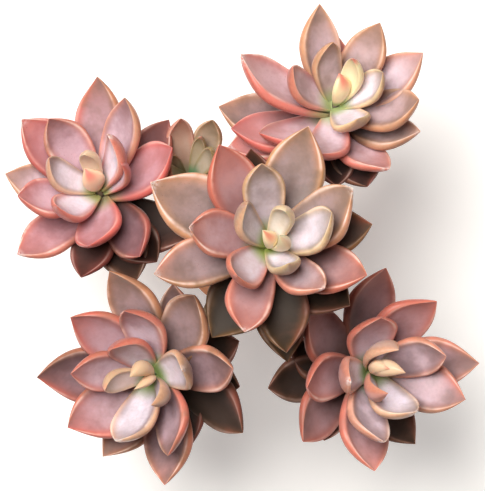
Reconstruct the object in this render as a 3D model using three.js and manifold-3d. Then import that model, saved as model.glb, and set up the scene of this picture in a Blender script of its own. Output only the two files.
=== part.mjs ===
// Potted graptosedum: six rosettes of thick pointed leaves on bare stems that lean out over
// the rim of a plain clay pot. Millimetres, +Z up. Bearings are in degrees, seen from above,
// with 0 towards +X and 90 towards +Y.

import * as THREE from "three";
import { mergeVertices } from "three/addons/utils/BufferGeometryUtils.js";
import Module from "manifold-3d";

const wasm = await Module();
wasm.setup();

// Clearance between pieces that touch.
const GAP = 0.3;

// Pot: thrown clay, a plain band round the rim and a drain hole. The soil fills it.
const POT_CENTRE = new THREE.Vector2(5, 4);
const POT_HEIGHT = 57;
const POT_RIM_RADIUS = 27.5;
const POT_FOOT_RADIUS = 19;
const POT_WALL = 3.6;
const POT_BASE = 5;
const RIM_BAND = 14;
const RIM_STEP = 2;
const DRAIN_RADIUS = 4.5;
const SOIL_BELOW_RIM = 6;
const SOIL_CROWN = 2.5;
const POT_SIDES = 28;

// Stems: bare and woody, each in its own hole in the soil. STEM_BEND is how far below its end a
// stem turns into the lean of its head.
const STEM_RADIUS = 3.1;
const STEM_DEPTH = 12;
const STEM_BEND = 12;
const STEM_SIDES = 8;
const STEM_STEPS = 10;

// Leaves: a mature one is about 40 long, 18 wide and 6 thick. LEAF_SPACING is the length of stem
// between one leaf and the next, and ROOT_OUT is how far from the stem's middle an old leaf starts.
// The youngest leaf starts BUD_DEPTH deeper in the head, and this fades over about BUD_FADE leaves.
const LEAF_SPACING = 1;
const ROOT_OUT = 2.42;
const BUD_DEPTH = 10;
const BUD_FADE = 14;
const YOUNG = 8;
const BOW_YOUNG = 0.13;
const BOW_OLD = 0.08;
const DISH = 0.07;
const LEAF_RINGS = 6;
const SMALL_LEAF = 34;
const SMALL_RINGS = 5;

// Core of a head: how far below the crown it ends, and how far it runs on below the oldest leaf.
const CORE_TOP = 6;
const CORE_FOOT = 8;

// Heads. crown is the tip of the stem, lean is how far the stem's end leans and towards which
// bearing, facing is which way its leaves look, root is where the stem stands and rise is how high
// it grows before it starts to lean. leaves lists the youngest first: the bearing and reach of
// each tip from the crown as seen from above, its share of the usual width and, where a leaf is
// bent up or down clear of a neighbour, by how much. turned gives the roll in degrees of
// some leaves about their own length. Neighbours in the list are about a golden angle apart.
const heads = [
  {
    name: "centre",
    colour: "#b99186",
    crown: [8.3, 2.7, 120],
    lean: 8,
    towards: 90,
    facing: [17, 95],
    root: [6, 2],
    rise: 80,
    turned: {
      0: 180, 2: 10, 3: -10, 4: 30, 5: -10, 6: -20, 7: 8, 8: -10, 9: -8, 10: -6, 11: -6, 12: 6,
      13: -12, 14: -8, 15: 5, 17: 4,
    },
    leaves: [
      [130, 3, 0.6, -5], [10, 3.4, 0.42], [57, 9.9, 0.66], [308, 10.9, 0.84], [124, 12.5, 0.9],
      [21, 22.2], [231, 16.3, 1.05], [95, 24.1, 0.88], [318, 25, 0.92], [173, 26.2],
      [30, 32.2, 1.08], [256, 32.3, 0.93], [118, 34.5, 0.97], [339, 35, 1.06], [198, 39.8, 0.86],
      [70, 39], [279, 38.8, 0.95], [155, 43, 1.1], [7, 34.9], [241, 38.5, 1.25, -13],
      [320, 35.6, 1.2], [101, 30], [279, 42.5, 1, -9],
    ],
  },
  {
    name: "upper_left",
    colour: "#bd8a84",
    crown: [-51.3, 23, 90],
    lean: 25,
    towards: 120,
    facing: [28, 120],
    root: [-5.8, 7.4],
    rise: 78,
    turned: { 0: 180, 3: -22, 4: -14, 5: 25, 7: -12, 9: 15, 10: -10, 12: -10, 13: 18 },
    leaves: [
      [120, 3.2, 0.85, -5], [103, 7.2, 0.6], [156, 14.6, 0.78], [67, 15.2, 0.85],
      [223, 14.6, 0.95], [18, 11.5, 0.85, -2], [125, 23.5, 0.92], [66, 28.8, 0.87],
      [195, 24.8, 0.97], [270, 23.3, 1.2], [19, 29.3, 1.2], [140, 30], [86, 33.7, 0.9],
      [302, 31.7, 1.05], [227, 35.8, 0.92], [178, 28.7, 0.95], [265, 34, 0.95], [36, 32.7],
      [294, 38.3, 1.1, -2.5], [308, 36.5, 1.05], [328, 39, 1.15],
    ],
  },
  {
    name: "upper_right",
    colour: "#c28d86",
    crown: [33, 54, 90],
    lean: 36,
    towards: 76,
    facing: [41, 76],
    root: [11, 15],
    rise: 74,
    turned: { 0: 180, 2: 20, 3: 15, 4: -10, 6: 12, 7: 10, 9: 14, 11: 10, 12: -10, 14: 20 },
    leaves: [
      [106, 3.6, 0.85, -5], [67, 8.7, 0.7], [15, 14, 0.9, -2], [293, 13, 1.1, -3],
      [162, 17.2, 0.95], [102, 14, 0.85], [348, 26.2, 1.05], [253, 24.8, 0.92], [58, 24.2, 0.87],
      [164, 35.2, 1.25], [21, 29.2], [105, 28, 0.84], [299, 32.8, 1.05], [329, 30.8],
      [211, 32.3, 1.1], [267, 34.4, 0.95], [284, 35.6, 1.15], [202, 40], [60, 20, 0.9],
      [330, 24, 0.95], [209, 43.8], [95, 18, 0.9], [190, 42, 1.25],
    ],
  },
  {
    name: "lower_left",
    colour: "#b28680",
    crown: [-36, -47, 89],
    lean: 30,
    towards: 208,
    facing: [34, 208],
    root: [-2, -5.4],
    rise: 78,
    turned: { 4: 10, 6: 12, 7: 5, 9: 10, 10: 8, 11: -8, 17: 10 },
    leaves: [
      [250, 1.2, 0.3], [120, 3.5, 0.5], [188, 10.1, 0.65], [310, 8.3, 0.5], [250, 19.5, 1.1],
      [19, 16.5, 1.05], [122, 14.5, 1.05], [98, 25.2], [170, 22, 0.95], [295, 25.8, 1.05],
      [10, 33.2], [57, 36.2, 1.08], [212, 27.1, 1.1], [134, 31.6, 1.08], [286, 35, 1.03],
      [103, 39.4, 0.97], [176, 33.7], [336, 39.4, 1.18], [245, 27, 0.95], [359, 35], [23, 37.8],
      [311, 27.9], [70, 36.3],
    ],
  },
  {
    name: "lower_right",
    colour: "#b0857a",
    crown: [49.3, -43, 89],
    lean: 30,
    towards: 355,
    facing: [34, 355],
    root: [12.4, -4.6],
    rise: 78,
    turned: { 4: 6, 6: 8, 8: -15, 10: -10, 11: 12, 13: 10, 15: -12 },
    leaves: [
      [72, 1.5, 0.45], [4, 5, 0.5], [261, 6.4, 0.58], [72, 8.4, 0.9], [305, 15.1, 1.08],
      [191, 13.5, 0.95], [17, 19.5, 0.97], [265, 22.8, 1.08], [100, 19, 1.3], [341, 26.8],
      [189, 28.3, 1.08], [57, 28.8, 1.2], [261, 33.1, 1.12], [143, 34.3, 1.15], [6, 30.5, 0.95],
      [218, 37.1, 1.15], [92, 35.4, 1.1], [290, 25.6, 1.05], [226, 31.8, 1, -3],
      [187, 41.3, 0.95], [166, 34.5, 1.15],
    ],
  },
  {
    name: "offset",
    colour: "#8f9468",
    crown: [-17.5, 26.5, 80],
    lean: 40,
    towards: 92,
    facing: [18, 92],
    root: [-3, 15],
    rise: 72,
    turned: {},
    leaves: [
      [72, 10.1, 0.45], [38, 8.3, 0.62], [184, 6.5, 0.7, -5], [102, 16.2, 0.68], [65, 17, 0.7],
      [300, 5, 0.8], [150, 6.8, 0.55, -5], [245, 6, 0.8],
    ],
  },
];

// A closed surface as a solid that can be joined and cut.
function solidOf(geometry) {
  geometry.deleteAttribute("normal");
  geometry.deleteAttribute("uv");
  const merged = mergeVertices(geometry, 1e-4);
  const vertProperties = merged.attributes.position.array;
  const triVerts = new Uint32Array(merged.index.array);
  return new wasm.Manifold(new wasm.Mesh({ numProp: 3, vertProperties, triVerts }));
}

// A joined or cut solid as a named mesh.
function meshOf(solid, name, material) {
  const { vertProperties, triVerts } = solid.getMesh();
  const geometry = new THREE.BufferGeometry();
  geometry.setAttribute("position", new THREE.BufferAttribute(vertProperties, 3));
  geometry.setIndex(new THREE.BufferAttribute(triVerts, 1));
  geometry.computeVertexNormals();
  const mesh = new THREE.Mesh(geometry, material);
  mesh.name = name;
  return mesh;
}

function matte(colour, roughness) {
  return new THREE.MeshStandardMaterial({ color: colour, roughness, metalness: 0 });
}

// Unit vector that leans from straight up by an angle towards a bearing.
function leaning(lean, towards) {
  const tilt = THREE.MathUtils.degToRad(lean);
  const bearing = THREE.MathUtils.degToRad(towards);
  return new THREE.Vector3(
    Math.sin(tilt) * Math.cos(bearing),
    Math.sin(tilt) * Math.sin(bearing),
    Math.cos(tilt),
  );
}

// Height of a leaf tip above the crown: young leaves stand up, old ones droop.
function tipHeight(age) {
  return 11 - (0.126 * age * age) / (1 + 0.04 * age) - 4 * Math.exp(-age / 1.2);
}

// Full width and thickness of a leaf of a given length.
function leafWidth(length) {
  return Math.min(0.4 * length + 4.3, 0.7 * length);
}

function leafThickness(length) {
  return 1.5 + 0.13 * length;
}

// Share of a leaf's full width at t, from its root at 0 to its tip at 1.
function outline(t) {
  const root = 0.4;
  const widest = 0.56;
  if (t < widest) return root + (1 - root) * Math.sin((t / widest) * (Math.PI / 2));
  const past = (t - widest) / (1 - widest);
  return Math.pow(1 - past * past, 1.1);
}

// How far a leaf sags below the straight line from root to tip, as a share of its bow.
function sagging(t) {
  return 2.6 * t * (1 - t * t);
}

// Half of a leaf's section, from the middle of its face over the crest and the flank to the keel:
// how far out, as a share of half the width, and how high, as a share of the thickness.
const SECTION = [
  [0, 0.2],
  [0.88, 0.22],
  [1, -0.16],
  [0, -0.83],
];

// A leaf is a ball drawn out from root to tip. Its first ring closes the root, inside the core.
function leaf({ root, tip, up, share, bow, roll }) {
  const length = root.distanceTo(tip);
  const width = share * leafWidth(length);
  const thickness = leafThickness(length);
  const steps = SECTION.length - 1;
  const rings = length < SMALL_LEAF ? SMALL_RINGS : LEAF_RINGS;
  const along = tip.clone().sub(root).normalize();
  const above = up.clone().addScaledVector(along, -up.dot(along)).normalize();
  above.applyAxisAngle(along, THREE.MathUtils.degToRad(roll));
  const across = new THREE.Vector3().crossVectors(along, above);
  const ball = new THREE.SphereGeometry(1, 2 * steps, rings);
  const skin = ball.attributes.position;
  const point = new THREE.Vector3();
  for (let n = 0; n < skin.count; n++) {
    const column = n % (2 * steps + 1);
    const ring = rings - Math.floor(n / (2 * steps + 1));
    const [out, high] = SECTION[column <= steps ? column : 2 * steps - column];
    const side = column <= steps ? out : -out;
    const pole = ring === 0 || ring === rings;
    const t = Math.max(0, (ring - 1) / (rings - 1));
    const size = pole ? 0 : outline(t);
    const height = high * thickness - (column % (2 * steps) === 0 ? DISH * width : 0);
    point.copy(root);
    point.addScaledVector(along, t * length);
    point.addScaledVector(across, (size * side * width) / 2);
    point.addScaledVector(above, Math.pow(size, 0.7) * height - bow * length * sagging(t));
    skin.setXYZ(n, point.x, point.y, point.z);
  }
  return solidOf(ball);
}

// The short core that a head's leaves grow from. It tapers to a top just under the youngest.
function core(crown, axis, length) {
  const profile = [new THREE.Vector2(0, 0)];
  for (const up of [0, 0.4, 0.7, 0.9, 1]) {
    const below = length * (1 - up);
    const radius = 0.3 + STEM_RADIUS * (1 - Math.exp(-below / 5));
    profile.push(new THREE.Vector2(radius, length * up));
  }
  profile.push(new THREE.Vector2(0, length));
  const turned = new THREE.LatheGeometry(profile, STEM_SIDES);
  const foot = crown.clone().addScaledVector(axis, -length);
  const turn = new THREE.Quaternion().setFromUnitVectors(new THREE.Vector3(0, 1, 0), axis);
  turned.applyMatrix4(new THREE.Matrix4().compose(foot, turn, new THREE.Vector3(1, 1, 1)));
  return solidOf(turned);
}

function coreLength(spec) {
  return spec.leaves.length * LEAF_SPACING + CORE_FOOT;
}

// Where a leaf starts and ends. The tips of a leaning head level out, so they lie about a plane
// that leans half as far as the stem does.
function leafEnds(spec, [bearing, reach, , lift = 0], age) {
  const crown = new THREE.Vector3(...spec.crown);
  const axis = leaning(spec.lean, spec.towards);
  const level = leaning(spec.lean / 2, spec.towards);
  const turn = THREE.MathUtils.degToRad(bearing);
  const tip = new THREE.Vector3(reach * Math.cos(turn), reach * Math.sin(turn), 0);
  tip.z = (tipHeight(age) - tip.dot(level)) / level.z + lift;
  tip.add(crown);
  const root = crown.clone().addScaledVector(axis, -LEAF_SPACING * age);
  const outwards = tip.clone().sub(root);
  outwards.addScaledVector(axis, -outwards.dot(axis)).normalize();
  root.addScaledVector(outwards, ROOT_OUT * (1 - Math.exp(-age / 5)));
  root.addScaledVector(leaning(...spec.facing), -BUD_DEPTH * Math.exp(-age / BUD_FADE));
  return { root, tip };
}

// A head's leaves joined to its core.
function head(spec) {
  const crown = new THREE.Vector3(...spec.crown);
  const axis = leaning(spec.lean, spec.towards);
  const up = leaning(...spec.facing);
  const top = crown.clone().addScaledVector(axis, -CORE_TOP);
  const leaves = spec.leaves.map((row, age) => {
    const [, , share = 1] = row;
    const bow = age < YOUNG ? BOW_YOUNG : BOW_OLD;
    return leaf({ ...leafEnds(spec, row, age), up, share, bow, roll: spec.turned[age] ?? 0 });
  });
  const whole = wasm.Manifold.union([core(top, axis, coreLength(spec) - CORE_TOP), ...leaves]);
  const [solid] = whole.decompose().sort((a, b) => b.volume() - a.volume());
  return meshOf(solid, "head_" + spec.name, matte(spec.colour, 0.55));
}

// The line of a stem, from its foot in the soil to just under its head.
function stemLine(spec, from) {
  const axis = leaning(spec.lean, spec.towards);
  const crown = new THREE.Vector3(...spec.crown);
  const end = crown.addScaledVector(axis, -coreLength(spec) - GAP);
  const foot = new THREE.Vector3(spec.root[0], spec.root[1], from);
  const upright = new THREE.Vector3(foot.x, foot.y, spec.rise);
  const bend = end.clone().addScaledVector(axis, -STEM_BEND);
  return new THREE.CubicBezierCurve3(foot, upright, bend, end);
}

function circle(radius, sides) {
  const shape = new THREE.Shape();
  for (let n = 0; n < sides; n++) {
    const turn = (n * 2 * Math.PI) / sides;
    const [x, y] = [radius * Math.cos(turn), radius * Math.sin(turn)];
    if (n === 0) shape.moveTo(x, y);
    else shape.lineTo(x, y);
  }
  shape.closePath();
  return shape;
}

const soilTop = POT_HEIGHT - SOIL_BELOW_RIM;

// A stem, or with some spare radius the hole that it stands in.
function stemSolid(spec, spare) {
  const line = stemLine(spec, soilTop - STEM_DEPTH - spare);
  const tube = new THREE.ExtrudeGeometry(circle(STEM_RADIUS + spare, STEM_SIDES), {
    steps: STEM_STEPS,
    extrudePath: line,
    bevelEnabled: false,
  });
  return solidOf(tube);
}

// Radius of the pot's inside at a height, which the soil fills.
function potInside(height) {
  const outer = POT_RIM_RADIUS - RIM_STEP;
  const foot = POT_FOOT_RADIUS;
  return foot + ((outer - foot) * height) / POT_HEIGHT - POT_WALL;
}

// The pot: a foot ring of one width, a straight wall and a band that stands out round the rim.
function pot() {
  const band = POT_HEIGHT - RIM_BAND;
  const wall = (height) => potInside(height) + POT_WALL;
  return potTurned([
    [DRAIN_RADIUS, 0],
    [POT_FOOT_RADIUS - 1, 0],
    [POT_FOOT_RADIUS + 0.1, 1],
    [wall(band - 1), band - 1],
    [wall(band) + RIM_STEP - 0.8, band],
    [wall(band) + RIM_STEP, band + 1],
    [POT_RIM_RADIUS, POT_HEIGHT - 1.4],
    [POT_RIM_RADIUS - 1.4, POT_HEIGHT],
    [potInside(POT_HEIGHT) + 1.2, POT_HEIGHT],
    [potInside(POT_HEIGHT), POT_HEIGHT - 1.2],
    [potInside(POT_BASE), POT_BASE],
    [DRAIN_RADIUS, POT_BASE],
    [DRAIN_RADIUS, 0],
  ]);
}

// A profile of radius and height, turned about the pot's upright axis.
function potTurned(profile) {
  const points = profile.map(([radius, height]) => new THREE.Vector2(radius, height));
  const turned = new THREE.LatheGeometry(points, POT_SIDES);
  turned.rotateX(Math.PI / 2);
  turned.translate(POT_CENTRE.x, POT_CENTRE.y, 0);
  return solidOf(turned);
}

// The soil fills the pot, is a little higher in the middle, and has a hole for each stem.
function soil() {
  const bottom = POT_BASE + GAP;
  const edge = soilTop - SOIL_CROWN;
  const body = potTurned([
    [0, bottom],
    [potInside(bottom) - GAP, bottom],
    [potInside(edge) - GAP, edge],
    [potInside(edge) * 0.6, soilTop - SOIL_CROWN * 0.3],
    [0, soilTop],
  ]);
  return heads.reduce((rest, spec) => rest.subtract(stemSolid(spec, GAP)), body);
}

const plant = new THREE.Group();
plant.add(meshOf(pot(), "pot", matte("#b0633f", 0.85)));
plant.add(meshOf(soil(), "soil", matte("#3b2a20", 0.95)));
for (const spec of heads) {
  plant.add(meshOf(stemSolid(spec, 0), "stem_" + spec.name, matte("#7b6350", 0.8)));
  plant.add(head(spec));
}

// The origin is under the middle of the whole, on the surface that it stands on.
const box = new THREE.Box3().setFromObject(plant);
const middle = box.getCenter(new THREE.Vector3());
plant.position.set(-middle.x, -middle.y, 0);

export default plant;
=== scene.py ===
# A graptosedum in a small clay pot, seen from straight above: six rosettes of thick, pointed,
# copper-pink leaves on bare stems that lean out over the rim. Metres, +Z up. Sizes are given in
# millimetres and bearings in degrees, with 0 towards +X and 90 towards +Y.

import math
import random
from functools import partial

import bmesh
import bpy
from mathutils import Matrix, Quaternion, Vector, noise


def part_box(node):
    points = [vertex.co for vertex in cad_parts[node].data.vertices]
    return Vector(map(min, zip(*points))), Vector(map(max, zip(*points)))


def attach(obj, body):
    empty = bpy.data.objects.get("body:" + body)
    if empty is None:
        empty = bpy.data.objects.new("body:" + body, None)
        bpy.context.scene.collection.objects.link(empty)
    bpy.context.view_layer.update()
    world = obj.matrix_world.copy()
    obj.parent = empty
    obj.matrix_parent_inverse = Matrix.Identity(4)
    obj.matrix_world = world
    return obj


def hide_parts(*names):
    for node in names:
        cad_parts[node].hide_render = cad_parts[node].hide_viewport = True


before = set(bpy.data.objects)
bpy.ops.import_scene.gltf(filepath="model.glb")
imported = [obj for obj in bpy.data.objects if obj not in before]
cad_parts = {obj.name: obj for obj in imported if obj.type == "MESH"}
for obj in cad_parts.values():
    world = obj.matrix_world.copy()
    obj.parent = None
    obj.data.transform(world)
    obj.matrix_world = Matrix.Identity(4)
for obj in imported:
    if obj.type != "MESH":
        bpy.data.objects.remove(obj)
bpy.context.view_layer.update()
MM = 0.001


# The pot: thrown and unglazed red clay with a plain band round the rim, fired and never
# painted. Lime from the water has dried on it in pale blooms.
POT_CENTRE = Vector((5, 4, 0))
POT_HEIGHT = 57
POT_RIM = 27.5
POT_FOOT = 19
POT_WALL = 3.6
POT_BASE = 5
RIM_BAND = 14
RIM_STEP = 2
DRAIN = 4.5
POT_SIDES = 112
FOOT_ROUND = 1.1
SHOULDER = 1.3
BAND_FLAT = RIM_BAND - 3.2
WALL_MARKS = 14
WALL_MARK_DEPTH = 0.09
BAND_MARKS = 4
BAND_MARK_DEPTH = 0.05

# The plan is moved by this much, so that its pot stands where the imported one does.
low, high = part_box("pot")
PLAN = (low + high) / (2 * MM) - POT_CENTRE
PLAN.z = 0


def pot_inside(height):
    """The radius of the wall's inner face at a height."""
    return POT_FOOT + (POT_RIM - RIM_STEP - POT_FOOT) * height / POT_HEIGHT - POT_WALL


def pot_outside(height):
    """The radius of the wall's outer face at a height, leaving out the band."""
    return pot_inside(height) + POT_WALL


def finished(bm, name, material):
    """A mesh in millimetres of the plan becomes a smooth piece in metres that rides on the plant."""
    bmesh.ops.translate(bm, verts=bm.verts, vec=PLAN)
    bmesh.ops.scale(bm, verts=bm.verts, vec=(MM, MM, MM))
    for face in bm.faces:
        face.smooth = True
    mesh = bpy.data.meshes.new(name)
    bm.to_mesh(mesh)
    bm.free()
    piece = bpy.data.objects.new(name, mesh)
    bpy.context.scene.collection.objects.link(piece)
    mesh.materials.append(material)
    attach(piece, "root")
    return piece


def tone(text):
    """A colour as it looks on a screen, such as b0633f, as the renderer's own numbers."""
    parts = [int(text[n : n + 2], 16) / 255 for n in (0, 2, 4)]
    return [p / 12.92 if p <= 0.04045 else ((p + 0.055) / 1.055) ** 2.4 for p in parts] + [1]


def feed(tree, socket, value):
    """Sets a socket to a value or, given another node's socket, links the two."""
    if isinstance(value, bpy.types.NodeSocket):
        tree.links.new(value, socket)
    else:
        socket.default_value = value


def add_node(tree, kind, **values):
    """A shader node. A key names a socket to feed or, after set_, one of the node's settings."""
    made = tree.nodes.new(kind)
    for key, value in values.items():
        if key.startswith("set_"):
            setattr(made, key.removeprefix("set_"), value)
        else:
            feed(tree, made.inputs[key.replace("_", " ")], value)
    return made


def mixed(tree, share, first, second, blend="MIX"):
    """The first colour with a share of the second, from 0 to 1, laid over it."""
    made = add_node(tree, "ShaderNodeMix", set_data_type="RGBA", set_blend_type=blend)
    for socket, value in ((0, share), (6, first), (7, second)):
        feed(tree, made.inputs[socket], value)
    return made.outputs[2]


def sums(tree, operation, *values):
    """The result of one arithmetic operation on values that change over the surface."""
    made = add_node(tree, "ShaderNodeMath", set_operation=operation)
    for socket, value in enumerate(values):
        feed(tree, made.inputs[socket], value)
    return made.outputs[0]


def ramped(tree, value, start, end, low=0.0, high=1.0):
    """value from start to end, eased, becomes low to high."""
    made = add_node(tree, "ShaderNodeMapRange", set_interpolation_type="SMOOTHSTEP")
    for socket, number in enumerate((value, start, end, low, high)):
        feed(tree, made.inputs[socket], number)
    return made.outputs[0]


def grain(tree, size, detail=3.0, roughness=0.55, stretch=(1, 1, 1)):
    """Noise from 0 to 1 whose lumps are about size millimetres across on the piece."""
    vector = add_node(tree, "ShaderNodeTexCoord").outputs["Object"]
    placed = add_node(tree, "ShaderNodeMapping", Vector=vector, Scale=stretch)
    made = add_node(
        tree,
        "ShaderNodeTexNoise",
        Vector=placed.outputs[0],
        Scale=1 / (size * MM),
        Detail=detail,
        Roughness=roughness,
    )
    return made.outputs["Fac"]


def new_material(name):
    """A plain material, with its tree of nodes and its surface shader."""
    material = bpy.data.materials.new(name)
    material.use_nodes = True
    shader = material.node_tree.nodes["Principled BSDF"]
    return material, material.node_tree, shader


def roughened(tree, shader, height, strength, depth):
    """Gives a surface fine relief where height changes over it, depth in millimetres."""
    bump = add_node(tree, "ShaderNodeBump", Height=height, Strength=strength, Distance=depth * MM)
    tree.links.new(bump.outputs["Normal"], shader.inputs["Normal"])


clay, tree, shader = new_material("fired_clay")
cloud = grain(tree, 16, 5)
speck = grain(tree, 0.7, 2)
turned = grain(tree, 3.2, 3, stretch=(0.12, 0.12, 1))
colour = mixed(tree, ramped(tree, cloud, 0.35, 0.7), tone("b07454"), tone("c48a69"))
colour = mixed(tree, ramped(tree, turned, 0.52, 0.72, 0, 0.35), colour, tone("d0a284"))
colour = mixed(tree, ramped(tree, speck, 0.62, 0.75, 0, 0.5), colour, tone("86543c"))
lime = sums(tree, "MULTIPLY", ramped(tree, grain(tree, 14, 8, 0.75), 0.5, 0.8), 0.4)
colour = mixed(tree, lime, colour, tone("dcc6b4"))
tree.links.new(colour, shader.inputs["Base Color"])
tree.links.new(ramped(tree, cloud, 0.3, 0.7, 0.78, 0.92), shader.inputs["Roughness"])
relief = sums(tree, "ADD", sums(tree, "MULTIPLY", turned, 0.6), sums(tree, "MULTIPLY", speck, 0.4))
roughened(tree, shader, relief, strength=0.45, depth=0.4)
shader.inputs["Specular IOR Level"].default_value = 0.25

# The wall's section, up the outside with its shallow turning marks, over the rim and down inside.
band = POT_HEIGHT - RIM_BAND
profile = [
    (DRAIN + 0.5, 0),
    (POT_FOOT - 1.4, 0),
    (POT_FOOT - 0.5, 0.25),
    (POT_FOOT + 0.1, FOOT_ROUND),
]
for step in range(1, WALL_MARKS + 1):
    height = FOOT_ROUND + (band - 2 * FOOT_ROUND) * step / WALL_MARKS
    profile.append((pot_outside(height) + WALL_MARK_DEPTH * math.sin(step * 2.4), height))
profile += [
    (pot_outside(band) + 0.25, band - 0.35),
    (pot_outside(band) + RIM_STEP - 0.9, band + 0.05),
    (pot_outside(band) + RIM_STEP - 0.2, band + 0.5),
    (pot_outside(band) + RIM_STEP, band + SHOULDER),
]
for step in range(1, BAND_MARKS + 1):
    height = band + SHOULDER + BAND_FLAT * step / BAND_MARKS
    profile.append((pot_outside(height) + RIM_STEP + BAND_MARK_DEPTH * math.sin(step * 2.9), height))
profile += [
    (POT_RIM - 0.15, POT_HEIGHT - 1.0),
    (POT_RIM - 0.7, POT_HEIGHT - 0.25),
    (POT_RIM - 1.7, POT_HEIGHT),
    (pot_inside(POT_HEIGHT) + 1.3, POT_HEIGHT - 0.05),
    (pot_inside(POT_HEIGHT) + 0.5, POT_HEIGHT - 0.4),
    (pot_inside(POT_HEIGHT), POT_HEIGHT - 1.3),
    (pot_inside(POT_HEIGHT / 2), POT_HEIGHT / 2),
    (pot_inside(POT_BASE) - 0.8, POT_BASE + 0.8),
    (pot_inside(POT_BASE) - 2, POT_BASE),
    (DRAIN + 0.5, POT_BASE),
    (DRAIN, POT_BASE - 0.5),
    (DRAIN, 0.5),
]
bm = bmesh.new()
corners = [bm.verts.new(POT_CENTRE + Vector((radius, 0, height))) for radius, height in profile]
edges = [bm.edges.new((a, b)) for a, b in zip(corners, corners[1:] + corners[:1])]
bmesh.ops.spin(
    bm,
    geom=corners + edges,
    cent=POT_CENTRE,
    axis=(0, 0, 1),
    angle=2 * math.pi,
    steps=POT_SIDES,
    use_merge=True,
    use_duplicate=False,
)
bmesh.ops.remove_doubles(bm, verts=bm.verts, dist=0.001)
bmesh.ops.recalc_face_normals(bm, faces=bm.faces)
pot = finished(bm, "clay_pot", clay)
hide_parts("pot")


# The soil: dark bark and peat mix pressed round the stems, with crushed pumice and lava grit
# strewn over it. It fills the pot to under a centimetre below the rim.
SOIL_TOP = POT_HEIGHT - 6
SOIL_CROWN = 2.5
SOIL_EDGE = SOIL_TOP - 4
TOP_SHARE = 0.85
GAP = 0.3
STONES = 420
STONE_MARGIN = 1.2
STONE_SINK = 0.25

earth, tree, shader = new_material("potting_mix")
crumb = grain(tree, 1.6, 6, 0.7)
fleck = grain(tree, 0.9, 3)
colour = mixed(tree, ramped(tree, crumb, 0.35, 0.65), tone("2a1d15"), tone("5a4332"))
colour = mixed(tree, ramped(tree, fleck, 0.66, 0.74, 0, 0.8), colour, tone("9c8a76"))
tree.links.new(colour, shader.inputs["Base Color"])
shader.inputs["Roughness"].default_value = 0.95
roughened(tree, shader, crumb, strength=0.9, depth=1.2)


def down_ball(z):
    """How far down a ball of radius 1 a height lies, from 0 at its top to 1 at its foot."""
    return math.acos(max(-1, min(1, z))) / math.pi


def from_middle(radius, bearing):
    """A place in the plan, at a distance and a bearing in radians from the middle of the pot."""
    return POT_CENTRE.x + radius * math.cos(bearing), POT_CENTRE.y + radius * math.sin(bearing)


def soil_height(x, y):
    """Height of the soil's surface, in lumps and crumbs, at a place in the plan."""
    out = math.hypot(x - POT_CENTRE.x, y - POT_CENTRE.y) / pot_inside(SOIL_TOP)
    lumps = 1.1 * noise.noise((x / 7, y / 7, 0.3)) + 0.7 * noise.noise((x / 2.6, y / 2.6, 4.1))
    crumbs = 0.35 * noise.noise((x / 1.1, y / 1.1, 9.7))
    return SOIL_TOP - SOIL_CROWN * out * out - 0.9 + lumps + crumbs


# A ball, most of which becomes the lumpy top. The rest runs down the pot's wall and over its base.
bm = bmesh.new()
bmesh.ops.create_uvsphere(bm, u_segments=128, v_segments=72, radius=1)
for vert in bm.verts:
    down = down_ball(vert.co.z)
    bearing = math.atan2(vert.co.y, vert.co.x)
    if down < TOP_SHARE:
        x, y = from_middle((pot_inside(SOIL_TOP) - GAP) * (down / TOP_SHARE), bearing)
        height = soil_height(x, y)
    else:
        past = (down - TOP_SHARE) / (1 - TOP_SHARE)
        height = SOIL_EDGE - (SOIL_EDGE - POT_BASE - GAP) * min(1, past * 2)
        x, y = from_middle((pot_inside(height) - GAP) * min(1, 2 - 2 * past), bearing)
    vert.co = (x, y, height)
soil = finished(bm, "potting_soil", earth)
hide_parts("soil")

pumice, tree, shader = new_material("crushed_pumice")
pick = add_node(tree, "ShaderNodeAttribute", set_attribute_name="stone").outputs["Fac"]
colour = mixed(tree, ramped(tree, pick, 0.35, 0.4), tone("cbbfae"), tone("8d7a67"))
colour = mixed(tree, ramped(tree, pick, 0.72, 0.76), colour, tone("5b3b30"))
colour = mixed(tree, ramped(tree, grain(tree, 0.5, 3), 0.4, 0.7, 0, 0.5), colour, tone("4a3d33"))
tree.links.new(colour, shader.inputs["Base Color"])
shader.inputs["Roughness"].default_value = 0.9

dice = random.Random(11)
bm = bmesh.new()
shade = bm.verts.layers.float.new("stone")
for _ in range(STONES):
    radius = (pot_inside(SOIL_TOP) - STONE_MARGIN) * math.sqrt(dice.random())
    x, y = from_middle(radius, dice.uniform(0, 2 * math.pi))
    size = dice.uniform(0.45, 1.5) ** 1.3 * 0.8
    stone = bmesh.ops.create_icosphere(bm, subdivisions=1, radius=size)["verts"]
    picked = dice.random()
    for vert in stone:
        vert.co *= dice.uniform(0.75, 1.15)
        vert[shade] = picked
    flat = Matrix.Diagonal((1, dice.uniform(0.7, 1), dice.uniform(0.5, 0.85), 1))
    turn = Quaternion((dice.random(), dice.random(), dice.random()), dice.uniform(0, 6)).to_matrix()
    place = Matrix.Translation((x, y, soil_height(x, y) + size * STONE_SINK))
    bmesh.ops.transform(bm, matrix=place @ turn.to_4x4() @ flat, verts=stone)
grit = finished(bm, "pumice_grit", pumice)
for face in grit.data.polygons:
    face.use_smooth = False


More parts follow.
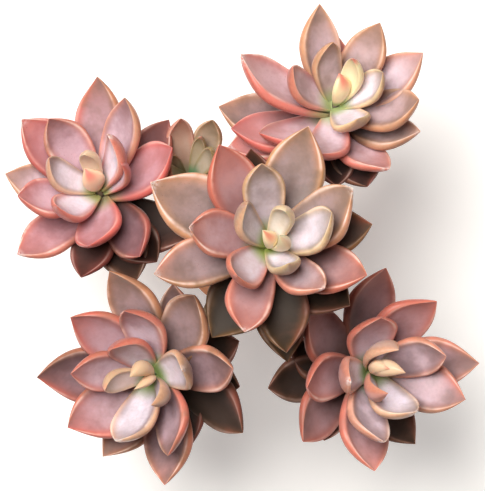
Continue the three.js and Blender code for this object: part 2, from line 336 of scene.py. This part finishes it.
# The heads: where each stem stands and ends, and its leaves. crown is the tip of the stem, lean
# how far its end leans and towards which bearing, and facing is which way its leaves look.
# Leaves are listed youngest first: the bearing and reach of the tip from the crown as seen from
# above, then its share of the usual width and how far it is bent up or down. turned gives the
# roll of some about their own length. The sun has turned some golden and others rosy, the sunny
# ones deepest of all. looks gives the age that some leaves are coloured as; an older one darkens
# a leaf, partly as painted shade where other leaves lie over it.
heads = {
    "centre": dict(
        crown=(8.3, 2.7, 120),
        lean=8,
        towards=90,
        facing=(17, 95),
        root=(6, 2),
        rise=80,
        turned={
            0: 180, 2: 10, 3: -10, 4: 30, 5: -10, 6: -20, 7: 8, 8: -10, 9: -8, 10: -6, 11: -6, 12: 6,
            13: -12, 14: -8, 15: 5, 17: 4,
        },
        golden=(5, 7, 10, 15, 17, 19),
        rosy=(0, 6, 8, 9, 11, 12, 13, 21),
        looks={2: 1.5, 4: 5, 14: 11, 15: 10, 16: 17.2, 17: 12, 18: 16, 19: 18, 20: 19, 22: 20},
        leaves=[
            (130, 3, 0.6, -5), (10, 3.4, 0.42), (57, 9.9, 0.66), (308, 10.9, 0.84), (124, 12.5, 0.9),
            (21, 22.2), (231, 16.3, 1.05), (95, 24.1, 0.88), (318, 25, 0.92), (173, 26.2),
            (30, 32.2, 1.08), (256, 32.3, 0.93), (118, 34.5, 0.97), (339, 35, 1.06), (198, 39.8, 0.86),
            (70, 39), (279, 38.8, 0.95), (155, 43, 1.1), (7, 34.9), (241, 38.5, 1.25, -13),
            (320, 35.6, 1.2), (101, 30), (279, 42.5, 1, -9),
        ],
    ),
    "upper_left": dict(
        crown=(-51.3, 23, 90),
        lean=25,
        towards=120,
        facing=(28, 120),
        root=(-5.8, 7.4),
        rise=78,
        turned={0: 180, 3: -22, 4: -14, 5: 25, 7: -12, 9: 15, 10: -10, 12: -10, 13: 18},
        golden=(1, 15, 18),
        rosy=(0, 3, 4, 5, 8, 9, 10, 11, 14, 16, 17),
        looks={6: 8.5, 12: 10, 13: 15.5, 14: 10, 15: 7, 16: 16.8, 17: 16, 18: 18, 19: 20, 20: 20},
        leaves=[
            (120, 3.2, 0.85, -5), (103, 7.2, 0.6), (156, 14.6, 0.78), (67, 15.2, 0.85),
            (223, 14.6, 0.95), (18, 11.5, 0.85, -2), (125, 23.5, 0.92), (66, 28.8, 0.87),
            (195, 24.8, 0.97), (270, 23.3, 1.2), (19, 29.3, 1.2), (140, 30), (86, 33.7, 0.9),
            (302, 31.7, 1.05), (227, 35.8, 0.92), (178, 28.7, 0.95), (265, 34, 0.95), (36, 32.7),
            (294, 38.3, 1.1, -2.5), (308, 36.5, 1.05), (328, 39, 1.15),
        ],
    ),
    "upper_right": dict(
        crown=(33, 54, 90),
        lean=36,
        towards=76,
        facing=(41, 76),
        root=(11, 15),
        rise=74,
        turned={0: 180, 2: 20, 3: 15, 4: -10, 6: 12, 7: 10, 9: 14, 11: 10, 12: -10, 14: 20},
        golden=(2, 5, 6, 8, 11, 13, 22),
        rosy=(0, 4, 7, 9, 12, 14, 17, 20),
        sunny=(17, 20),
        looks={
            4: 7, 5: 8, 6: 10, 8: 11, 10: 7, 11: 9, 12: 9, 13: 15.2, 14: 9, 15: 22, 16: 22,
            18: 12, 19: 16, 21: 12, 22: 15.4,
        },
        leaves=[
            (106, 3.6, 0.85, -5), (67, 8.7, 0.7), (15, 14, 0.9, -2), (293, 13, 1.1, -3),
            (162, 17.2, 0.95), (102, 14, 0.85), (348, 26.2, 1.05), (253, 24.8, 0.92), (58, 24.2, 0.87),
            (164, 35.2, 1.25), (21, 29.2), (105, 28, 0.84), (299, 32.8, 1.05), (329, 30.8),
            (211, 32.3, 1.1), (267, 34.4, 0.95), (284, 35.6, 1.15), (202, 40), (60, 20, 0.9),
            (330, 24, 0.95), (209, 43.8), (95, 18, 0.9), (190, 42, 1.25),
        ],
    ),
    "lower_left": dict(
        crown=(-36, -47, 89),
        lean=30,
        towards=208,
        facing=(34, 208),
        root=(-2, -5.4),
        rise=78,
        turned={4: 10, 6: 12, 7: 5, 9: 10, 10: 8, 11: -8, 17: 10},
        golden=(1, 2, 3, 5, 11, 15, 18),
        rosy=(6, 7, 8, 12, 13),
        looks={
            2: 1.5, 10: 12, 11: 13, 12: 9, 13: 9, 14: 11, 15: 14, 16: 15.3, 17: 16.8, 18: 15, 19: 20,
            20: 20, 21: 20, 22: 15.6,
        },
        leaves=[
            (250, 1.2, 0.3), (120, 3.5, 0.5), (188, 10.1, 0.65), (310, 8.3, 0.5), (250, 19.5, 1.1),
            (19, 16.5, 1.05), (122, 14.5, 1.05), (98, 25.2), (170, 22, 0.95), (295, 25.8, 1.05),
            (10, 33.2), (57, 36.2, 1.08), (212, 27.1, 1.1), (134, 31.6, 1.08), (286, 35, 1.03),
            (103, 39.4, 0.97), (176, 33.7), (336, 39.4, 1.18), (245, 27, 0.95), (359, 35), (23, 37.8),
            (311, 27.9), (70, 36.3),
        ],
    ),
    "lower_right": dict(
        crown=(49.3, -43, 89),
        lean=30,
        towards=355,
        facing=(34, 355),
        root=(12.4, -4.6),
        rise=78,
        turned={4: 6, 6: 8, 8: -15, 10: -10, 11: 12, 13: 10, 15: -12},
        golden=(0, 1, 3, 4),
        rosy=(2, 5, 8, 10, 11, 12, 13, 15, 16),
        looks={6: 8.5, 10: 13, 12: 10, 13: 15.4, 14: 10, 15: 15.4, 16: 15.6, 17: 20, 18: 20},
        leaves=[
            (72, 1.5, 0.45), (4, 5, 0.5), (261, 6.4, 0.58), (72, 8.4, 0.9), (305, 15.1, 1.08),
            (191, 13.5, 0.95), (17, 19.5, 0.97), (265, 22.8, 1.08), (100, 19, 1.3), (341, 26.8),
            (189, 28.3, 1.08), (57, 28.8, 1.2), (261, 33.1, 1.12), (143, 34.3, 1.15), (6, 30.5, 0.95),
            (218, 37.1, 1.15), (92, 35.4, 1.1), (290, 25.6, 1.05), (226, 31.8, 1, -3),
            (187, 41.3, 0.95), (166, 34.5, 1.15),
        ],
    ),
    "offset": dict(
        crown=(-17.5, 26.5, 80),
        lean=40,
        towards=92,
        facing=(18, 92),
        root=(-3, 15),
        rise=72,
        turned={},
        golden=(0, 1, 4),
        rosy=(3,),
        looks={0: 1.2, 1: 1.3, 2: 14, 3: 10, 4: 10, 5: 15, 6: 15, 7: 15},
        leaves=[
            (72, 10.1, 0.45), (38, 8.3, 0.62), (184, 6.5, 0.7, -5), (102, 16.2, 0.68), (65, 17, 0.7),
            (300, 5, 0.8), (150, 6.8, 0.55, -5), (245, 6, 0.8),
        ],
    ),
}


# The stems: bare, woody and pale brown, as thick as a pencil, ringed with the scars of leaves
# that have dropped. Each stands in the soil, leans out over the rim and runs on into its head.
STEM_RADIUS = 3.1
STEM_DEPTH = 12
STEM_BEND = 12
STEM_SIDES = 24
STEM_RINGS = 90
BARK_DIP = 0.12
BARK_LUMP = 0.25
SCAR_SPACING = 1.9
SCAR_WIDTH = 1.7
SCAR_HEIGHT = 0.75
SCAR_RING = 0.9
SCAR_RISE = 0.22
LEAF_SPACING = 1
CORE_FOOT = 8
GOLDEN_ANGLE = math.radians(137.5)
POLE = 0.99999
# A direction that no stem runs along, from which the turns about a stem are counted.
ASIDE = Vector((0.3, -1, 0.2))


def leaning(lean, towards):
    """The direction of something upright that leans so many degrees towards a bearing."""
    lean, towards = math.radians(lean), math.radians(towards)
    return Vector(
        (math.sin(lean) * math.cos(towards), math.sin(lean) * math.sin(towards), math.cos(lean))
    )


def core_length(head):
    """The length of the stem's tip that the leaves of a head grow from."""
    return len(head["leaves"]) * LEAF_SPACING + CORE_FOOT


def stem_line(head):
    """The four points of a stem's curve, from its foot in the soil to just under its head."""
    axis = leaning(head["lean"], head["towards"])
    end = Vector(head["crown"]) - axis * (core_length(head) + GAP)
    x, y = head["root"]
    foot = Vector((x, y, SOIL_TOP - STEM_DEPTH))
    return foot, Vector((x, y, head["rise"])), end - axis * STEM_BEND, end


def along_curve(points, t):
    """The place and the heading at t from 0 to 1 on a curve of four points."""
    a, b, c, d = points
    u = 1 - t
    place = a * u**3 + b * 3 * u * u * t + c * 3 * u * t * t + d * t**3
    heading = (b - a) * u * u + (c - b) * 2 * u * t + (d - c) * t * t
    return place, heading.normalized()


bark, tree, shader = new_material("stem_bark")
scar = add_node(tree, "ShaderNodeAttribute", set_attribute_name="scar").outputs["Fac"]
up = add_node(tree, "ShaderNodeAttribute", set_attribute_name="up").outputs["Fac"]
fibre = grain(tree, 1.2, 4, 0.6)
colour = mixed(tree, ramped(tree, fibre, 0.35, 0.7), tone("6f5742"), tone("a58a6c"))
colour = mixed(tree, ramped(tree, up, 0.72, 1.0, 0, 0.8), colour, tone("8f9065"))
colour = mixed(tree, ramped(tree, scar, 0.15, 0.8, 0, 0.85), colour, tone("4a3426"))
tree.links.new(colour, shader.inputs["Base Color"])
shader.inputs["Roughness"].default_value = 0.8
roughened(tree, shader, fibre, strength=0.5, depth=0.3)

for number, (name, head) in enumerate(heads.items()):
    bm = bmesh.new()
    scars = bm.verts.layers.float.new("scar")
    ups = bm.verts.layers.float.new("up")
    bmesh.ops.create_uvsphere(bm, u_segments=STEM_SIDES, v_segments=STEM_RINGS, radius=1)
    points = stem_line(head)
    length = (points[3] - points[0]).length
    count = int(length / SCAR_SPACING)
    for vert in bm.verts:
        t = max(0, min(1, (down_ball(-vert.co.z) * STEM_RINGS - 1) / (STEM_RINGS - 2)))
        pole = abs(vert.co.z) > POLE
        turn = math.atan2(vert.co.y, vert.co.x)
        place, heading = along_curve(points, t)
        side = heading.cross(ASIDE).normalized()
        other = heading.cross(side)
        depth = 0
        for n in range(int(t * count) - 2, int(t * count) + 4):
            off = (t * count - n) * SCAR_SPACING
            around = (turn - n * GOLDEN_ANGLE - number + math.pi) % (2 * math.pi) - math.pi
            arc = math.hypot(off / SCAR_HEIGHT, around * STEM_RADIUS / SCAR_WIDTH)
            depth = max(depth, math.exp(-((arc - SCAR_RING) ** 2) * 5))
        lump = BARK_LUMP * noise.noise(place / 4 + Vector((number, turn, 0)))
        radius = 0 if pole else STEM_RADIUS + SCAR_RISE * depth - BARK_DIP + lump
        vert.co = place + (side * math.cos(turn) + other * math.sin(turn)) * radius
        vert[scars] = depth
        vert[ups] = t
    stem = finished(bm, "bare_stem_" + name, bark)
    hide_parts("stem_" + name)


# The rosettes: thick smooth leaves that grew in a spiral from the tip of the stem, flat above
# and keeled below, with a rounded rim. Wax clouds them, and sun turns their margins coral.
ROOT_OUT = 2.42
ROOT_AGES = 5
YOUNG = 8
BOW_YOUNG = 0.13
BOW_OLD = 0.08
BUD_DEPTH = 10
BUD_FADE = 14
TIP_RISE = 11
DROOP = 0.126
DROOP_EASE = 0.04
TUCK = 4
TUCK_AGES = 1.2
CORE_TOP = 6
CORE_TIP = 0.8
LEAF_WIDTH = 4.3
LEAF_WIDTH_SHARE = 0.4
STUBBIEST = 0.7
LEAF_THICK = 1.5
LEAF_THICK_SHARE = 0.13
DISH = 0.07
DISH_END = 0.4
SWAY = 0.1
WAVE = 0.35
LEAF_SIDES = 36
LEAF_RINGS = 36
TIP_CROWDING = 1.2
OLDEST = 24
USUAL_WIDTH_AND_BEND = (1, 0)


def tip_height(age):
    """How far above the crown a leaf's tip is: lower with age, and tucked in inside the bud."""
    drooped = DROOP * age * age / (1 + DROOP_EASE * age)
    return TIP_RISE - drooped - TUCK * math.exp(-age / TUCK_AGES)


def leaf_ends(head, row, age):
    """Where a leaf starts at the stem and where its tip is."""
    bearing, reach, _, bend = row
    bearing = math.radians(bearing)
    crown = Vector(head["crown"])
    axis = leaning(head["lean"], head["towards"])
    level = leaning(head["lean"] / 2, head["towards"])
    tip = Vector((reach * math.cos(bearing), reach * math.sin(bearing), 0))
    tip.z = (tip_height(age) - tip.dot(level)) / level.z + bend
    tip += crown
    root = crown - axis * LEAF_SPACING * age
    outwards = tip - root
    outwards = (outwards - axis * outwards.dot(axis)).normalized()
    root -= leaning(*head["facing"]) * BUD_DEPTH * math.exp(-age / BUD_FADE)
    return root + outwards * ROOT_OUT * (1 - math.exp(-age / ROOT_AGES)), tip


# Where along it a leaf is widest, and the width of its root as a share of that.
WIDEST = 0.56
ROOT_WIDTH = 0.4


def outline(t):
    """Share of the leaf's width at t along it."""
    if t < WIDEST:
        return ROOT_WIDTH + (1 - ROOT_WIDTH) * math.sin(t / WIDEST * math.pi / 2)
    past = (t - WIDEST) / (1 - WIDEST)
    return max(0, 1 - past * past) ** 1.1


# Half of a leaf's section, from the middle of its face over the crest to the keel, as shares of
# half its width and of its thickness. It is read as a smooth curve.
CREST = 0.88
HALF_SECTION = [
    (0, 0.2), (0.42, 0.2), (0.74, 0.2), (CREST, 0.24), (0.98, 0.08), (1.03, -0.16), (0.88, -0.44),
    (0.5, -0.72), (0, -0.84),
]


def half_section(share):
    """Across and up at a share from 0 to 1 of the way from the face's middle to the keel."""
    last = len(HALF_SECTION) - 1
    start = min(int(share * last), last - 1)
    u = share * last - start
    weights = ((1 - u) ** 3, 3 * u**3 - 6 * u * u + 4, -3 * u**3 + 3 * u * u + 3 * u + 1, u**3)
    out = up = 0
    for n, weight in enumerate(weights):
        near = start + n - 1
        mirrored = near < 0 or near > last
        near = abs(near) if near < 0 else 2 * last - near if near > last else near
        out += weight / 6 * HALF_SECTION[near][0] * (-1 if mirrored else 1)
        up += weight / 6 * HALF_SECTION[near][1]
    return out, up


ball = bmesh.new()
bmesh.ops.create_uvsphere(ball, u_segments=LEAF_SIDES, v_segments=LEAF_RINGS, radius=1)
leaf_ball = bpy.data.meshes.new("leaf_ball")
ball.to_mesh(leaf_ball)
ball.free()


def grow_leaf(bm, layers, head, row, age, seed, blush):
    """A ball is drawn out from root to tip and pressed into a leaf."""
    root, tip = leaf_ends(head, row, age)
    length = (tip - root).length
    width = row[2] * min(LEAF_WIDTH_SHARE * length + LEAF_WIDTH, STUBBIEST * length)
    thick = LEAF_THICK + LEAF_THICK_SHARE * length
    bow = length * (BOW_YOUNG if age < YOUNG else BOW_OLD)
    along = (tip - root).normalized()
    level = leaning(*head["facing"])
    above = (level - along * level.dot(along)).normalized()
    above.rotate(Quaternion(along, math.radians(head["turned"].get(age, 0))))
    across = along.cross(above)
    place, kind = layers
    grown = len(bm.verts)
    bm.from_mesh(leaf_ball)
    for vert in list(bm.verts)[grown:]:
        pole = abs(vert.co.z) > POLE
        t = max(0, (down_ball(-vert.co.z) * LEAF_RINGS - 1) / (LEAF_RINGS - 1))
        t = 1 - (1 - t) ** TIP_CROWDING
        angle = math.atan2(vert.co.y, vert.co.x)
        size = 0 if pole else outline(t)
        share = abs((math.pi / 2 - angle + math.pi) % (2 * math.pi) - math.pi) / math.pi
        out, up = half_section(share)
        dish = DISH * width * max(0, 1 - (out / CREST) ** 2) if share < DISH_END else 0
        sway = length * SWAY * (seed % 1 - 0.5) * 4 * t * (1 - t) * size
        wave = WAVE * noise.noise((3 * t, 1.6 * math.cos(angle), seed)) * min(1, length / 25)
        offset = (up * thick - dish) * size**0.7 - bow * 2.6 * t * (1 - t * t) + wave * size
        out = math.copysign(out, math.cos(angle))
        sideways = out * size * width / 2 + sway
        vert.co = root + along * (t * length) + across * sideways + above * offset
        vert[place] = (t, out, share)
        # A leaf is stored at the age it is coloured as. Leaves stored as older are darkened as painted
        # shade.
        vert[kind] = (head["looks"].get(age, age) / OLDEST, seed % 1, blush)


def leaf_colours():
    """The colouring that all leaves share, as a group of nodes: face, margin, base and wax."""
    group = bpy.data.node_groups.new("leaf_colours", "ShaderNodeTree")
    for name in ("Place", "Kind"):
        group.interface.new_socket(name, in_out="INPUT", socket_type="NodeSocketVector")
    for name in ("Face", "Coral", "Gold", "Base", "Young", "Old", "Wax"):
        group.interface.new_socket(name, in_out="INPUT", socket_type="NodeSocketColor")
    group.interface.new_socket("Colour", in_out="OUTPUT", socket_type="NodeSocketColor")
    for name in ("Roughness", "Height"):
        group.interface.new_socket(name, in_out="OUTPUT", socket_type="NodeSocketFloat")
    ramp = partial(ramped, group)
    mix = partial(mixed, group)

    def times(first, *others):
        for other in others:
            first = sums(group, "MULTIPLY", first, other)
        return first

    def plus(first, *others):
        for other in others:
            first = sums(group, "ADD", first, other)
        return first

    given = group.nodes.new("NodeGroupInput").outputs
    along, across, round_rim = add_node(group, "ShaderNodeSeparateXYZ", Vector=given["Place"]).outputs
    age, seed, blush = add_node(group, "ShaderNodeSeparateXYZ", Vector=given["Kind"]).outputs
    side = times(sums(group, "ABSOLUTE", across), 1 / CREST)
    soft = grain(group, 9, 3)
    fine = grain(group, 1.1, 4, 0.6)
    drift = sums(group, "SUBTRACT", soft, 0.5)
    # Bud leaves are the youngest of all. Rosy leaves look less young, and sunny ones never old.
    bud = ramp(age, 0.045, 0.08, 1, 0)
    fresh = ramp(age, 0.14, 0.42, 1, 0)
    young = times(fresh, ramp(blush, 0.65, 0.9, 1, 0.2))
    # This mask darkens old leaves, partly for their real age and partly as painted shade on leaves
    # listed older where others shadow them.
    old = times(ramp(age, 0.58, 0.72), ramp(blush, 1.25, 1.4, 1, 0))
    # The sun's blush: widest and deepest at the tip and along one margin, and down the flanks.
    lopsided = times(across, sums(group, "SUBTRACT", seed, 0.5))
    rim = times(sums(group, "POWER", side, 3.2), 0.62)
    end = times(sums(group, "POWER", along, 4), 0.45)
    edge = ramp(plus(rim, end, times(drift, 0.8), times(lopsided, 0.5)), 0.12, 0.9, 0, 0.92)
    flank = times(ramp(round_rim, 0.33, 0.46), ramp(along, 0.05, 0.5, 0.35, 1))
    flank = times(flank, ramp(round_rim, 0.65, 0.95, 1, 0.45), ramp(soft, 0.3, 0.6, 0.6, 1))
    edge = sums(group, "MAXIMUM", times(edge, ramp(round_rim, 0.42, 0.5, 1, 0)), flank)
    # Its hue runs from gold to coral. It is paler on some leaves, creamy on young ones, and dull on
    # old ones, partly as painted shade. Low on the flank it is darkened unevenly, as painted shade on
    # the side that faces down.
    hue = ramp(plus(blush, times(lopsided, 0.6), times(drift, 1.4)), 0.1, 0.9)
    coral = mix(hue, given["Gold"], given["Coral"])
    pale = ramp(plus(seed, times(drift, 1.5)), 0.35, 1.1, 0, 0.45)
    pale = times(pale, ramp(blush, 0.7, 1, 1, 0.4))
    coral = mix(pale, coral, tone("ecb89e"))
    coral = mix(times(old, 0.72), coral, given["Old"])
    coral = mix(times(young, 0.6), coral, given["Young"])
    painted_flank_shade = times(ramp(round_rim, 0.42, 0.62, 0, 0.5), ramp(fine, 0.3, 0.65, 0.6, 1))
    coral = mix(painted_flank_shade, coral, tone("c89c8c"), "MULTIPLY")
    # The face takes on some of that hue, in clouds and towards the tip, and more of it on the
    # rosiest and the most golden leaves. Golden faces are also browner, and rosy ones pinker.
    tan = ramp(plus(soft, times(fine, 0.3)), 0.45, 0.95, 0, 0.38)
    tan = plus(tan, ramp(along, 0.4, 0.9, 0, 0.3))
    strong = sums(group, "MAXIMUM", ramp(blush, 0.6, 0.95), ramp(blush, 0.05, 0.4, 0.3, 0))
    tan = times(tan, ramp(strong, 0, 1, 0.4, 1))
    face = mix(ramp(blush, 0.25, 0.55, 0.6, 0), given["Face"], tone("807060"))
    face = mix(ramp(blush, 0.65, 1.0, 0, 0.4), face, tone("cc807a"))
    face = mix(tan, face, coral)
    # Old faces are darkened, partly for their age and partly as painted shade.
    face = mix(old, face, given["Old"])
    colour = mix(edge, face, coral)
    # Wax clouds the face. It is thin on the rim and the flanks, and lost on old leaves.
    wax = times(ramp(side, 0.5, 1.0, 1, 0.15), ramp(round_rim, 0.34, 0.46, 1, 0.3))
    thin = ramp(fresh, 0, 1, 0.4, 0.72)
    wax = times(wax, ramp(soft, 0.32, 0.64, thin, 1), ramp(along, 0.55, 0.97, 1, 0.25))
    wax = times(wax, ramp(fine, 0.3, 0.6, 0.88, 1), ramp(old, 0, 1, 1, 0.05))
    wax = times(wax, ramp(age, 0.2, 0.5, 1, 0.5))
    cloud = mix(times(fresh, 0.75), given["Wax"], tone("f0e8f4"))
    colour = mix(wax, colour, cloud)
    # The bud is creamy, with coral under the tips of its rosy leaves and on the very tips of some.
    colour = mix(times(bud, 0.85), colour, given["Young"])
    spot = times(ramp(along, 0.5, 0.9), ramp(round_rim, 0.66, 0.95))
    spot = times(spot, ramp(blush, 0.5, 0.8))
    tip = times(ramp(along, 0.86, 0.97), ramp(seed, 0.3, 0.4))
    spot = times(sums(group, "MAXIMUM", spot, tip), bud)
    colour = mix(times(spot, 0.85), colour, given["Coral"])
    # The root is green on young leaves and brown on old ones, and that brown is partly painted shade.
    # Old leaves are also darkened from the root outwards, as painted shade where others lie over them.
    root = times(ramp(along, 0.05, 0.29, 1, 0), ramp(age, 0.25, 0.5, 1, 0.55))
    base = mix(ramp(age, 0.25, 0.65, 0, 0.85), given["Base"], given["Old"])
    colour = mix(root, colour, base)
    painted_shade = times(ramp(along, 0.15, 0.7, 1, 0), ramp(age, 0.35, 0.62, 0, 0.85))
    colour = mix(painted_shade, colour, given["Old"])
    # Freckles: a few small red-brown specks, on some leaves more than on others.
    freckle = times(ramp(grain(group, 0.55, 1), 0.66, 0.74), ramp(soft, 0.4, 0.65))
    freckle = times(freckle, ramp(seed, 0.2, 1, 0, 0.4))
    colour = mix(freckle, colour, tone("b07868"), "MULTIPLY")
    # The crest is lightened in a thin line, a painted highlight, far more in some leaves than in
    # others, and a few tips are rubbed.
    painted_highlight = times(ramp(round_rim, 0.26, 0.36), ramp(round_rim, 0.46, 0.37))
    painted_highlight = times(painted_highlight, ramp(along, 0.28, 0.88, 0.05, 0.95), ramp(soft, 0.38, 0.6, 0.2, 1))
    painted_highlight = times(painted_highlight, ramp(seed, 0.2, 0.9, 0.45, 1), ramp(old, 0, 1, 1, 0.4))
    colour = mix(painted_highlight, colour, tone("f6ddd2"))
    rub = times(ramp(along, 0.9, 0.98), ramp(seed, 0.7, 0.8))
    rub = times(rub, ramp(fine, 0.35, 0.6), ramp(old, 0, 0.6, 0.7, 0))
    colour = mix(rub, colour, tone("f4e8e4"))
    # Wax and age both make the surface duller.
    roughness = plus(ramp(wax, 0.0, 0.8, 0.36, 0.5), times(old, 0.28))
    out = group.nodes.new("NodeGroupOutput").inputs
    group.links.new(colour, out["Colour"])
    group.links.new(roughness, out["Roughness"])
    group.links.new(plus(times(soft, 0.8), times(fine, 0.2)), out["Height"])
    return group


colouring = leaf_colours()


def leaf_skin(name, **colours):
    """The skin of one head's leaves: the shared colouring in the head's own colours."""
    material, tree, shader = new_material(name)
    place = add_node(tree, "ShaderNodeAttribute", set_attribute_name="place").outputs["Vector"]
    kind = add_node(tree, "ShaderNodeAttribute", set_attribute_name="kind").outputs["Vector"]
    mask = add_node(tree, "ShaderNodeGroup", set_node_tree=colouring)
    feed(tree, mask.inputs["Place"], place)
    feed(tree, mask.inputs["Kind"], kind)
    for key, value in colours.items():
        mask.inputs[key.capitalize()].default_value = tone(value)
    tree.links.new(mask.outputs["Colour"], shader.inputs["Base Color"])
    tree.links.new(mask.outputs["Roughness"], shader.inputs["Roughness"])
    roughened(tree, shader, mask.outputs["Height"], strength=0.2, depth=0.6)
    for socket, value in (
        ("Subsurface Weight", 0.2),
        ("Subsurface Radius", (1.0, 0.42, 0.25)),
        ("Subsurface Scale", 2.5 * MM),
        ("Specular IOR Level", 0.34),
        ("Sheen Weight", 0.03),
        ("Sheen Roughness", 0.5),
        ("Sheen Tint", tone("e6d8ea")),
    ):
        shader.inputs[socket].default_value = value
    return material


# Each head's colours. The dark brown for old leaves is partly their own colour and partly painted
# shade where they lie under others.
leaf_tones = {
    "centre": dict(
        face="6c5455", coral="cf7059", gold="c28a52", base="8f9a4c",
        young="f0e2b8", old="2a1c0c", wax="b29ca4",
    ),
    "upper_left": dict(
        face="875a60", coral="d0675e", gold="c88a68", base="9c9c64",
        young="ecceac", old="301a0e", wax="d4b0be",
    ),
    "upper_right": dict(
        face="906a6a", coral="d66c62", gold="d29a74", base="a0ac72",
        young="f2e4b4", old="261610", wax="dabfca",
    ),
    "lower_left": dict(
        face="6a4e52", coral="cb6a5a", gold="b67e5a", base="86985a",
        young="e2c09c", old="281a0c", wax="c2a6b2",
    ),
    "lower_right": dict(
        face="7c6264", coral="d47662", gold="ca906e", base="8a985e",
        young="e8c6a4", old="2c1e12", wax="d8bcc8",
    ),
    "offset": dict(
        face="8a7454", coral="d0907c", gold="b8946a", base="5c8a60",
        young="a08c5e", old="4a4a2a", wax="b8a496",
    ),
}
# The core looks like a leaf of middle age that the sun has turned neither golden nor rosy.
CORE_KIND = (0.45, 0.5, 0.5)

for number, (name, head) in enumerate(heads.items()):
    bm = bmesh.new()
    place = bm.verts.layers.float_vector.new("place")
    kind = bm.verts.layers.float_vector.new("kind")
    dice = random.Random(number + 5)
    for age, row in enumerate(head["leaves"]):
        blush = dice.uniform(-0.2, 0.2) + 0.5
        blush += 0.5 * (age in head["rosy"]) - 0.5 * (age in head["golden"])
        blush += age in head.get("sunny", ())
        whole_row = row + USUAL_WIDTH_AND_BEND[len(row) - 2 :]
        grow_leaf(bm, (place, kind), head, whole_row, age, dice.uniform(0, 50), blush)
    length = core_length(head) - CORE_TOP
    axis = leaning(head["lean"], head["towards"])
    core = bmesh.ops.create_cone(
        bm, segments=STEM_SIDES, radius1=STEM_RADIUS, radius2=CORE_TIP, depth=length, cap_ends=True
    )["verts"]
    turn = Vector((0, 0, 1)).rotation_difference(axis).to_matrix().to_4x4()
    middle = Matrix.Translation(Vector(head["crown"]) - axis * (CORE_TOP + length / 2))
    bmesh.ops.transform(bm, matrix=middle @ turn, verts=core)
    for vert in core:
        vert[kind] = CORE_KIND
    skin = leaf_skin("leaf_skin_" + name, **leaf_tones[name])
    rosette = finished(bm, "rosette_" + name, skin)
    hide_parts("head_" + name)


# The setting: a pale floor, a large soft light from the upper left and a weak one opposite, and
# a camera straight above with a long lens, at three pixels to the millimetre at the height of
# the leaves. Lengths here are in metres.
FLOOR_REACH = 12
LIGHT_AIM = Vector((0, 0, 0.09))
PIXELS_PER_MM = 3
HALF_PIXEL = 0.5 / PIXELS_PER_MM
LONG_SIDE = 491
SENSOR = 36
DISTANCE = 2.0
LEAF_HEIGHT = 0.095

paper, tree, shader = new_material("pale_floor")
shade = mixed(tree, grain(tree, 300, 2), tone("f2f0ee"), tone("f6f4f2"))
tree.links.new(shade, shader.inputs["Base Color"])
shader.inputs["Roughness"].default_value = 0.9
shader.inputs["Emission Color"].default_value = tone("ffffff")
shader.inputs["Emission Strength"].default_value = 0.3
bm = bmesh.new()
bmesh.ops.create_grid(bm, x_segments=8, y_segments=8, size=FLOOR_REACH)
mesh = bpy.data.meshes.new("floor")
bm.to_mesh(mesh)
bm.free()
floor = bpy.data.objects.new("floor", mesh)
bpy.context.scene.collection.objects.link(floor)
mesh.materials.append(paper)

world = bpy.data.worlds.new("studio")
world.use_nodes = True
background = world.node_tree.nodes["Background"]
background.inputs["Color"].default_value = (1, 1, 1, 1)
background.inputs["Strength"].default_value = 0.04
bpy.context.scene.world = world


def softbox(name, place, size, power, colour):
    """A round soft lamp that looks at the middle of the plant."""
    lamp = bpy.data.lights.new(name, "AREA")
    lamp.shape = "DISK"
    lamp.size = size
    lamp.energy = power
    lamp.color = tone(colour)[:3]
    light = bpy.data.objects.new(name, lamp)
    light.location = place
    light.rotation_euler = (LIGHT_AIM - light.location).to_track_quat("-Z", "Y").to_euler()
    bpy.context.scene.collection.objects.link(light)


softbox("key", (-0.4, 0.44, 1.42), 1.1, 38, "fffdf8")
softbox("fill", (0.9, -0.6, 0.9), 1.0, 2.5, "fff2e6")

lens = bpy.data.cameras.new("camera")
lens.sensor_width = SENSOR
lens.lens = SENSOR * DISTANCE / (LONG_SIDE / PIXELS_PER_MM * MM)
lens.clip_end = 50
camera = bpy.data.objects.new("camera", lens)
camera.location = (Vector((-HALF_PIXEL, -HALF_PIXEL, 0)) + PLAN) * MM
camera.location.z = LEAF_HEIGHT + DISTANCE
bpy.context.scene.collection.objects.link(camera)
bpy.context.scene.camera = camera
bpy.context.scene.view_settings.view_transform = "Standard"
